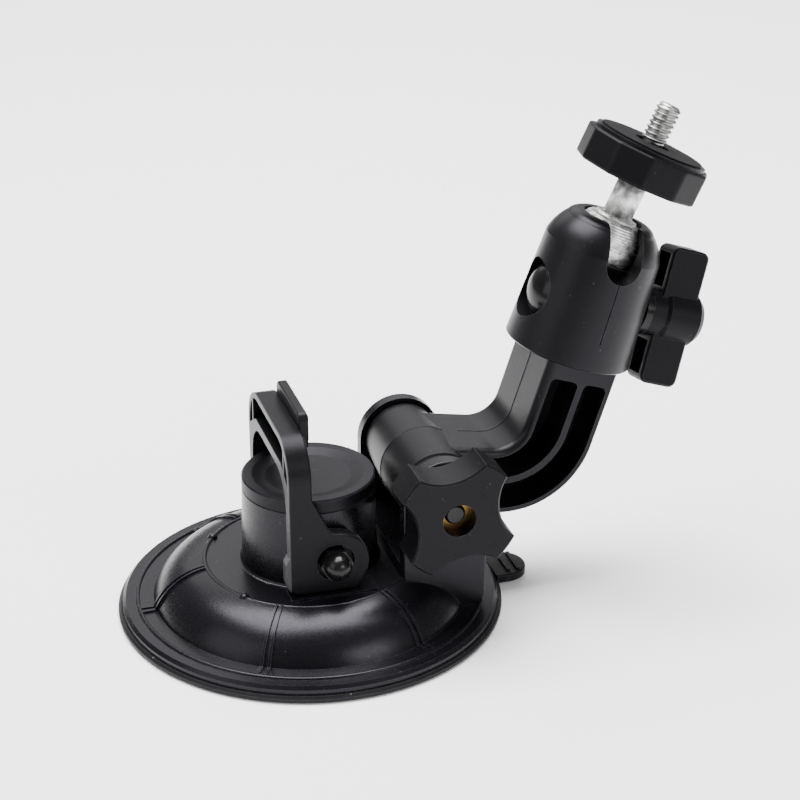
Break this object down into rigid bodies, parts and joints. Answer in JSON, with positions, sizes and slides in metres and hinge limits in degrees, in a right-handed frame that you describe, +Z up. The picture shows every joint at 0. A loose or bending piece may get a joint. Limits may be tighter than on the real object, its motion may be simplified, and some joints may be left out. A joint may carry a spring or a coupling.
{
  "type": "suction cup camera mount",
  "caption": "Suction cup base with lever lock, hinged ribbed arm with star knob, and clamped ball head with lock wheel and camera screw.",
  "frame": {"origin": "centre of the suction cup's underside", "axes": "+Z up out of the cup, +X towards the arm, -Y the side of the star knob"},
  "size_m": [0.1498, 0.095, 0.1204],
  "materials": {
    "cup_rubber": "matt moulded rubber",
    "base_plastic": "satin black moulding",
    "lever_plastic": "fine satin black moulding",
    "arm_plastic": "satin black moulding",
    "knob_plastic": "satin black moulding",
    "housing_plastic": "satin black moulding",
    "inner_plastic": "plain black acetal",
    "washer_rubber": "matt",
    "pad_rubber": "matt pad",
    "dark_steel": "black zinc plated steel",
    "spring_steel": "drawn wire",
    "insert_brass": "turned brass",
    "stud_aluminium": "die cast, lightly machined"
  },
  "bodies": {
    "base": {"suction_cup": "cup_rubber", "base_cover": "base_plastic", "tower_cap": "base_plastic", "front_friction_washer": "washer_rubber", "rear_friction_washer": "washer_rubber", "pivot_bolt": "dark_steel", "pivot_washer": "dark_steel"},
    "lift": {"lift_post": "inner_plastic", "return_spring": "spring_steel", "lever_pin": "dark_steel", "lever_washers": "inner_plastic", "acorn_nuts": "dark_steel"},
    "lever": {"lever": "lever_plastic"},
    "star_knob": {"star_knob": "knob_plastic", "star_knob_insert": "insert_brass"},
    "arm": {"arm": "arm_plastic", "socket_housing": "housing_plastic", "clamp_bolt": "dark_steel", "wing_washer": "dark_steel"},
    "wing_knob": {"wing_knob": "knob_plastic", "wing_knob_insert": "insert_brass"},
    "seat": {"ball_seat": "inner_plastic"},
    "ball": {"ball": "stud_aluminium"},
    "stud": {"camera_stud": "stud_aluminium"},
    "wheel": {"lock_wheel": "knob_plastic", "wheel_insert": "dark_steel", "rubber_pad": "pad_rubber"}
  },
  "joints": [
    {"name": "post_lift", "type": "slide", "parent": "base", "child": "lift", "axis": [0, 0, 1], "range_m": [0, 0.0044], "deforming": ["return_spring"]},
    {"name": "lever_pivot", "type": "hinge", "parent": "lift", "child": "lever", "pos_m": [0.0012, 0, 0.0212], "axis": [0, -1, 0], "range_deg": [0, 90]},
    {"name": "star_knob_turn", "type": "hinge", "parent": "base", "child": "star_knob", "pos_m": [0.0284, 0, 0.0335], "axis": [0, -1, 0], "continuous": true},
    {"name": "arm_pivot", "type": "hinge", "parent": "base", "child": "arm", "pos_m": [0.0284, 0, 0.0335], "axis": [0, -1, 0], "range_deg": [-18, 75]},
    {"name": "wing_knob_turn", "type": "hinge", "parent": "arm", "child": "wing_knob", "pos_m": [0.0702, 0, 0.07273], "axis": [0.9511, 0, -0.309], "continuous": true},
    {"name": "ball_side_tilt", "type": "hinge", "parent": "arm", "child": "seat", "pos_m": [0.0749, 0, 0.08719], "axis": [0, 1, 0], "range_deg": [-28, 14]},
    {"name": "ball_slot_swing", "type": "hinge", "parent": "seat", "child": "ball", "pos_m": [0.0749, 0, 0.08719], "axis": [0.9041, 0, -0.4274], "range_deg": [-18, 88]},
    {"name": "stud_spin", "type": "hinge", "parent": "ball", "child": "stud", "pos_m": [0.0749, 0, 0.08719], "axis": [0.4274, 0, 0.9041], "continuous": true},
    {"name": "lock_wheel_turn", "type": "hinge", "parent": "stud", "child": "wheel", "pos_m": [0.0749, 0, 0.08719], "axis": [0.4274, 0, 0.9041], "continuous": true}
  ],
  "couplings": [
    {"joint": "post_lift", "follows": "lever_pivot", "m_per_rad": 0.0028011}
  ]
}
